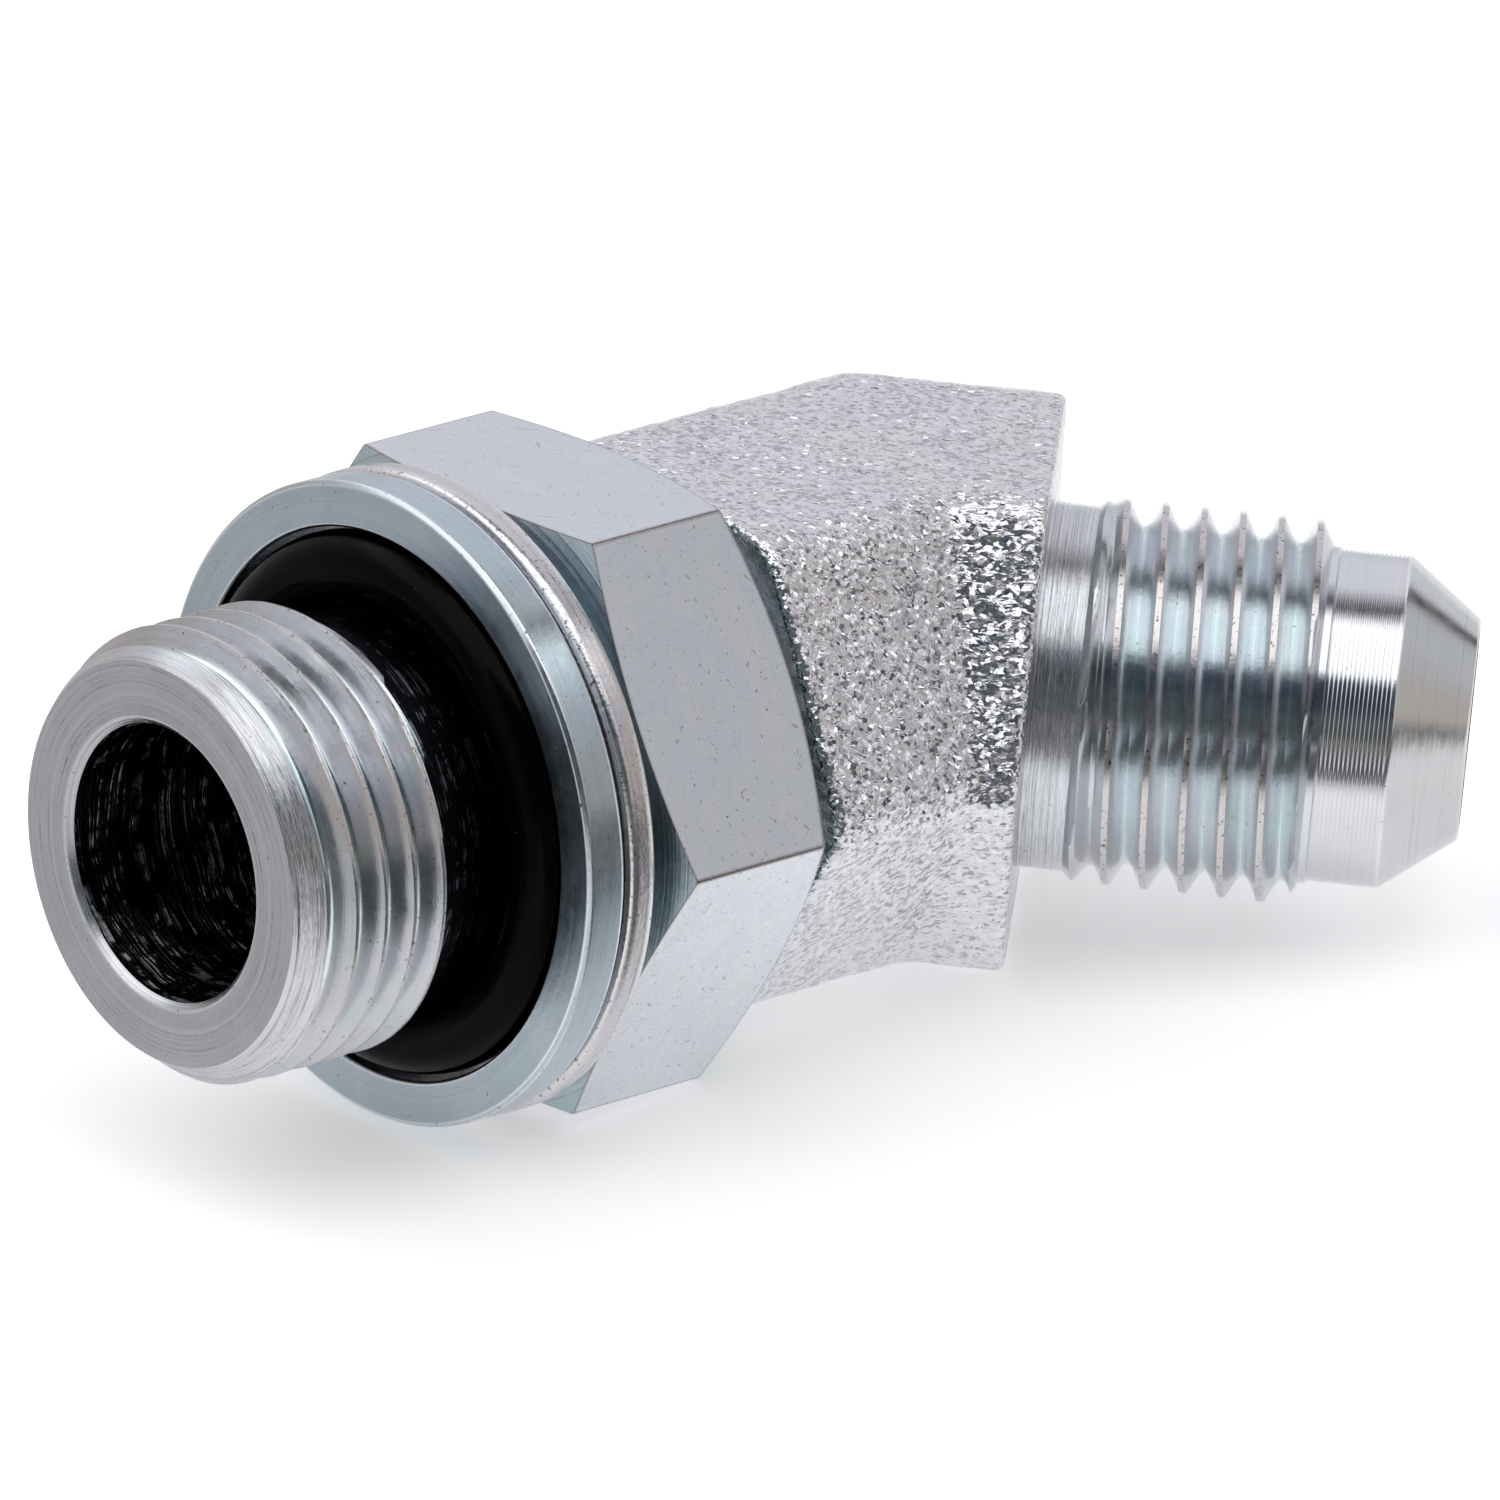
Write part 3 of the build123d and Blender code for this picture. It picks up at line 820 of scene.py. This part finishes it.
def forged_plate():
    """Zinc plate on the rough forged surface: flakes, brown mottling and small pits."""
    f = Finish("forged_plate")
    cloud = f.noise(f.place, 0.3, 3.0, 0.6, 0.5)
    mottled = f.noise(f.place, 3.0, 4.0, 0.7)
    colour = f.mix(f.ramp(cloud, (0.40, 0.0), (0.62, 1.0)), (0.76, 0.76, 0.81), (0.77, 0.765, 0.79))
    colour = f.mix(f.ramp(mottled, (0.34, 0.35), (0.50, 0.0)), colour, (0.45, 0.40, 0.36))
    pits = f.noise(f.place, 6.5, 3.0, 0.65)
    colour = f.mix(f.ramp(pits, (0.29, 0.9), (0.35, 0.0)), colour, (0.14, 0.11, 0.10))
    drawn = f.vector("MULTIPLY", f.place, (0.5, 1.0, 1.0))
    normal = f.bump(f.noise(drawn, 2.7, 2.0, 0.55, 0.6), 0.10)
    normal = f.bump(f.noise(f.place, 0.9, 3.0, 0.6), 0.06, normal)
    normal = tilted(f, f.vector("MULTIPLY", f.place, (0.7, 1.0, 1.0)), 7.0, 0.55, normal)
    return f.finish(colour, f.ramp(mottled, (0.3, 0.34), (0.6, 0.18)), normal)


def rubber_finish():
    f = Finish("nitrile_rubber")
    dust = f.noise(f.place, 5.5, 2.0, 0.5)
    colour = f.mix(f.ramp(dust, (0.765, 0.0), (0.79, 0.5)), (0.0010, 0.0009, 0.0011), (0.16, 0.15, 0.15))
    normal = f.bump(f.noise(f.place, 3.0, 3.0, 0.6), 0.003)
    rough = f.ramp(f.noise(f.place, 0.7), (0.35, 0.13), (0.7, 0.19))
    return f.finish(colour, rough, normal, metal=0.0, Specular_IOR_Level=0.05)


LILAC, TEAL, PINK = (0.62, 0.63, 0.67), (0.53, 0.60, 0.61), (0.66, 0.62, 0.63)
# pinkish colour painted on the thread crests as the reflection they catch
CREST_SHEEN = (0.61, 0.58, 0.585)

# each crest colour is painted edge light: bright highlights on turned edges, pink sheen on thread crests
elbow_finishes = {
    FORGED: forged_plate(),
    FACE: plated("turned_face", ((0.52, 0.53, 0.56), (0.56, 0.57, 0.60), (0.66, 0.67, 0.70)), rough=0.26,
                 rings=11.0, relief=0.022, grain=0.004, crest=(0.85, 0.86, 0.88), specks=0.68, tint=0.8,
                 dark_lines=0.7),
    # bore and undercut: near-black tones painted as the shade inside them
    BORED: painted_shade_wall("bored_wall_painted_shade", (0.02, 0.02, 0.022), lines=7.0, relief=0.09, rough=(0.2, 0.4),
                        share=0.52, slant=1.6),
    SHADED_UNDERCUT: painted_shade_wall("undercut_painted_shade", (0.010, 0.010, 0.012), lines=9.0, relief=0.012, rough=(0.28, 0.3),
                       share=0.53, slant=0.0, scratch=(0.30, 0.30, 0.34)),
    THREADED: plated("thread_plate", (LILAC, TEAL, PINK), rough=0.20, rings=4.0, relief=0.014, grain=0.006,
                     crest=CREST_SHEEN, specks=0.655, dark_lines=0.25, root=(0.74, 0.85, 0.88)),
    NECK: plated("turned_neck", ((0.70, 0.71, 0.75), (0.66, 0.67, 0.70), (0.76, 0.75, 0.77)), rough=0.13,
                 rings=9.0, relief=0.16, grain=0.003, crest=CREST_SHEEN, specks=0.67, dark_lines=0.7),
    NOSE: plated("turned_nose", ((0.70, 0.71, 0.74), (0.67, 0.68, 0.71), (0.74, 0.73, 0.75)), rough=0.14,
                 rings=6.0, relief=0.003, grain=0.002, crest=(0.9, 0.9, 0.92), specks=0.70, dark_lines=0.1),
    CONE: plated("turned_cone", ((0.70, 0.71, 0.72), (0.67, 0.69, 0.71), (0.74, 0.73, 0.73)), rough=0.18,
                 rings=6.0, relief=0.010, grain=0.004, crest=(0.88, 0.88, 0.9), specks=0.69,
                 dark_lines=0.2),
}
# the nut's crest colours are dark lines painted along its edges as shade
nut_finishes = {
    FLAT: plated("nut_plate", ((0.68, 0.70, 0.75), (0.64, 0.70, 0.74), (0.73, 0.72, 0.74)), rough=0.28,
                 rings=5.0, relief=0.003, grain=0.006, crest=(0.22, 0.18, 0.17), specks=0.665, tint=0.5,
                 dark_lines=0.06, scuffs=0.7),
    TURNED: plated("nut_turned", ((0.52, 0.64, 0.69), (0.44, 0.58, 0.62), (0.66, 0.70, 0.76)), rough=0.20,
                   rings=7.0, relief=0.035, grain=0.004, crest=(0.34, 0.31, 0.31), specks=0.68,
                   dark_lines=0.8),
    # a darker copy of nut_turned, painted as the shade on the rear chamfer beside the block
    SHADED_REAR: plated("nut_rear_painted_shade", ((0.22, 0.33, 0.33), (0.17, 0.28, 0.27), (0.34, 0.44, 0.45)), rough=0.18,
                 rings=7.0, relief=0.020, grain=0.004, crest=(0.30, 0.27, 0.27), specks=0.68,
                 dark_lines=0.7),
}
washer_finish = plated("washer_plate", ((0.64, 0.61, 0.62), (0.62, 0.62, 0.66), (0.70, 0.66, 0.66)),
                       rough=0.22, rings=6.0, relief=0.012, grain=0.02, crest=(0.84, 0.82, 0.83),
                       specks=0.64)
ring_finish = plated("ring_plate", ((0.46, 0.54, 0.60), (0.56, 0.60, 0.66), (0.50, 0.60, 0.63)),
                     rough=0.22, rings=6.0, relief=0.008, grain=0.006, crest=(0.9, 0.91, 0.94),
                     specks=0.665, dark_lines=0.25)

elbow().build("elbow_skin", list(elbow_finishes.values()), "elbow", "elbow_body", "plated_steel_forged")
nut().build("nut_skin", list(nut_finishes.values()), "nut", "lock_nut", "plated_steel_nut", sharp=25)
washer = ring_piece(
    [(WASHER_BORE, WASHER_REAR), (WASHER_R, WASHER_REAR),
     (WASHER_R, WASHER_FRONT), (WASHER_BORE, WASHER_FRONT)],
    (0, WASHER_BEVEL, WASHER_BEVEL, 0.1))
washer.build("washer_skin", [washer_finish], "seal_stack", "backup_washer", "plated_steel_washer")
ring = ring_piece(
    [(RING_BORE, RING_REAR), (RING_R - 0.35, RING_REAR), (RING_R, RING_REAR + 0.35),
     (RING_R, RING_FRONT - 0.15), (RING_R - 0.15, RING_FRONT), (RING_BORE + 0.1, RING_FRONT),
     (RING_BORE, RING_FRONT - 0.1)],
    (0, 0.05, 0.08, 0.05, 0.05, 0.04, 0.04))
ring.build("ring_skin", [ring_finish], "seal_stack", "retaining_ring", "plated_steel_ring")
rubber_ring().build("o_ring_skin", [rubber_finish()], "seal_stack", "o_ring", "black_rubber")

# ---- studio ----

FLOOR_HALF = 3.0
CLIP_END = 10.0

# The photo's camera: a long lens, 0.85 m away. Its right and down directions are in the bend's own
# frame, and its offsets, in millimetres, start at the point where the arms cross.
LENS = 562.8
SENSOR = 36
CAMERA_RIGHT = (0.9936, 0.0759, 0.0837)
CAMERA_DOWN = (0.1075, -0.4060, -0.9075)
CAMERA_OFFSET = (-4.62, 3.07, -852.8)

# Strength of the world. Its colours are divided by it, so that they render as they are written.
PANEL = 1.6

scene = bpy.context.scene
scene.view_settings.view_transform = "Standard"


def floor_finish():
    """White for the camera. Metal sees the white table near the part, and less of it further off."""
    f = Finish("floor")
    x, y, _ = f.split(f.place)
    path = f.node("ShaderNodeLightPath")

    def step(value, start, end, low, high):
        return f.range(value, start, end, low, high, interpolation_type="SMOOTHSTEP")

    left = f.math("MULTIPLY", step(x, -45.0, 4.0, 0.46, 1.12), step(x, 10.0, 34.0, 1.0, 0.66))
    ahead = f.math("MULTIPLY", step(y, -22.0, -7.0, 1.0, 0.0), step(x, -14.0, 6.0, 0.0, 1.0))
    ahead = f.math("MULTIPLY", ahead, step(y, -700.0, -250.0, 0.6, 1.0))
    level = f.math("MULTIPLY", left, f.math("SUBTRACT", 1.0, f.math("MULTIPLY", ahead, 0.92)))
    reflected = {0: path.outputs["Is Glossy Ray"], 2: 1.0, 3: level}
    level = f.node("ShaderNodeMix", reflected, data_type="FLOAT").outputs[0]
    shade = f.math("MULTIPLY", level, 0.88)
    f.finish(f.joined(shade, shade, shade), 0.7, None, 0.0)
    seen = f.math("MAXIMUM", path.outputs["Is Camera Ray"], path.outputs["Is Glossy Ray"])
    strength = f.math("MULTIPLY", f.math("MULTIPLY", seen, level), 0.42)
    glow = f.node("ShaderNodeEmission", {"Strength": strength})
    both = f.node("ShaderNodeAddShader", {0: f.bsdf.outputs[0], 1: glow.outputs[0]})
    f.tree.links.new(both.outputs[0], f.tree.nodes["Material Output"].inputs["Surface"])
    return f.material


def add_floor():
    mesh = bpy.data.meshes.new("floor")
    h = FLOOR_HALF
    mesh.from_pydata([(-h, -h, 0), (h, -h, 0), (h, h, 0), (-h, h, 0)], [], [(0, 1, 2, 3)])
    mesh.materials.append(floor_finish())
    floor = bpy.data.objects.new("floor", mesh)
    scene.collection.objects.link(floor)


def add_camera():
    cam = bpy.data.cameras.new("camera")
    cam.lens = LENS
    cam.sensor_width = SENSOR
    cam.clip_end = CLIP_END
    camera = bpy.data.objects.new("camera", cam)
    scene.collection.objects.link(camera)
    scene.camera = camera
    tilt = math.atan2(-FLARE[2], FLARE[0])
    to_part = np.array([[math.cos(tilt), 0, math.sin(tilt)], [0, 1, 0], [-math.sin(tilt), 0, math.cos(tilt)]])
    right = to_part @ np.array(CAMERA_RIGHT)
    forward = np.cross(right, to_part @ np.array(CAMERA_DOWN))
    forward /= np.linalg.norm(forward)
    down = np.cross(forward, right)
    place = (P0 + np.array(CAMERA_OFFSET) @ np.array([right, down, forward])) * MM
    rot = Matrix((right.tolist(), (-down).tolist(), (-forward).tolist())).transposed()
    camera.matrix_world = Matrix.Translation(Vector(place)) @ rot.to_4x4()


def studio():
    """Pale room with a wide panel overhead, open in front where the camera stands."""
    world = bpy.data.worlds.new("world")
    world.use_nodes = True
    tree = world.node_tree

    def node(kind, inputs=None, **props):
        return add_node(tree, kind, inputs, **props)

    def ramp(value, stops):
        return add_ramp(tree, value, stops, PANEL)

    x, y, z = node("ShaderNodeSeparateXYZ", {0: node("ShaderNodeTexCoord").outputs["Generated"]}).outputs
    # from the horizon behind the part at 0, over the top, to the horizon on the camera's side at 1
    over = node("ShaderNodeMath", {0: z, 1: y}, operation="ARCTAN2").outputs[0]
    over = node("ShaderNodeMath", {0: over, 1: math.pi}, operation="DIVIDE").outputs[0]
    middle = ramp(over, [
        # wall behind, dark gap, overhead panel, dark front
        (0.00, (0.66, 0.67, 0.72)), (0.12, (0.82, 0.82, 0.87)), (0.30, (0.84, 0.84, 0.88)),
        (0.36, (0.40, 0.40, 0.43)), (0.395, (0.09, 0.09, 0.10)), (0.425, (0.09, 0.09, 0.10)),
        (0.465, (1.0, 1.0, 1.0)), (0.485, (1.58, 1.59, 1.6)), (0.705, (1.58, 1.59, 1.6)),
        (0.728, (0.12, 0.15, 0.20)), (0.745, (0.025, 0.04, 0.075)), (0.85, (0.04, 0.055, 0.075)),
        (0.90, (0.11, 0.13, 0.13)), (0.97, (0.07, 0.08, 0.08)), (1.0, (0.34, 0.35, 0.36))])
    # by height: side walls, then the white above them
    side = ramp(z, [
        (0.0, (0.55, 0.51, 0.47)), (0.24, (0.53, 0.49, 0.46)), (0.36, (0.55, 0.56, 0.59)),
        (0.54, (0.66, 0.67, 0.70)), (0.63, (1.5, 1.5, 1.52)), (1.0, (1.58, 1.59, 1.6))])
    # 1 where the middle shows, 0 towards the left and right walls, with a dark gap before the right one
    wide = node("ShaderNodeMath", {0: x, 1: 0.5, 2: 0.5}, operation="MULTIPLY_ADD").outputs[0]
    edge = ramp(wide, [(0.24, 0.0), (0.33, PANEL), (0.76, PANEL), (0.82, 0.0)])
    gap = ramp(wide, [(0.785, PANEL), (0.81, 0.15), (0.83, 0.15), (0.86, PANEL)])
    # round the horizon: open in front from the camera's left to well on its right, and a slit on the left
    bearing = node("ShaderNodeMath", {0: y, 1: x}, operation="ARCTAN2").outputs[0]
    whole_turn = {0: bearing, 1: 0.5 / math.pi, 2: 0.5}
    bearing = node("ShaderNodeMath", whole_turn, operation="MULTIPLY_ADD").outputs[0]
    slit = 0.8 * PANEL
    front = ramp(bearing, [
        (0.066, 0.0), (0.073, slit), (0.083, slit), (0.090, 0.0),
        (0.205, 0.0), (0.225, PANEL), (0.395, PANEL), (0.415, 0.0)])
    front = node("ShaderNodeMath", {0: front, 1: edge}, operation="MAXIMUM").outputs[0]
    sky = node("ShaderNodeMix", {0: front, 6: side, 7: middle}, data_type="RGBA").outputs[2]
    sky = node("ShaderNodeMix", {0: 1.0, 6: sky, 7: gap}, data_type="RGBA", blend_type="MULTIPLY").outputs[2]
    light = node("ShaderNodeBackground", {"Color": sky, "Strength": PANEL})
    backdrop = node("ShaderNodeBackground", {"Color": (1, 1, 1, 1), "Strength": 1.0})
    seen = node("ShaderNodeLightPath").outputs["Is Camera Ray"]
    both = node("ShaderNodeMixShader", {0: seen, 1: light.outputs[0], 2: backdrop.outputs[0]})
    tree.links.new(both.outputs[0], tree.nodes["World Output"].inputs["Surface"])
    return world


add_floor()
add_camera()
scene.world = studio()
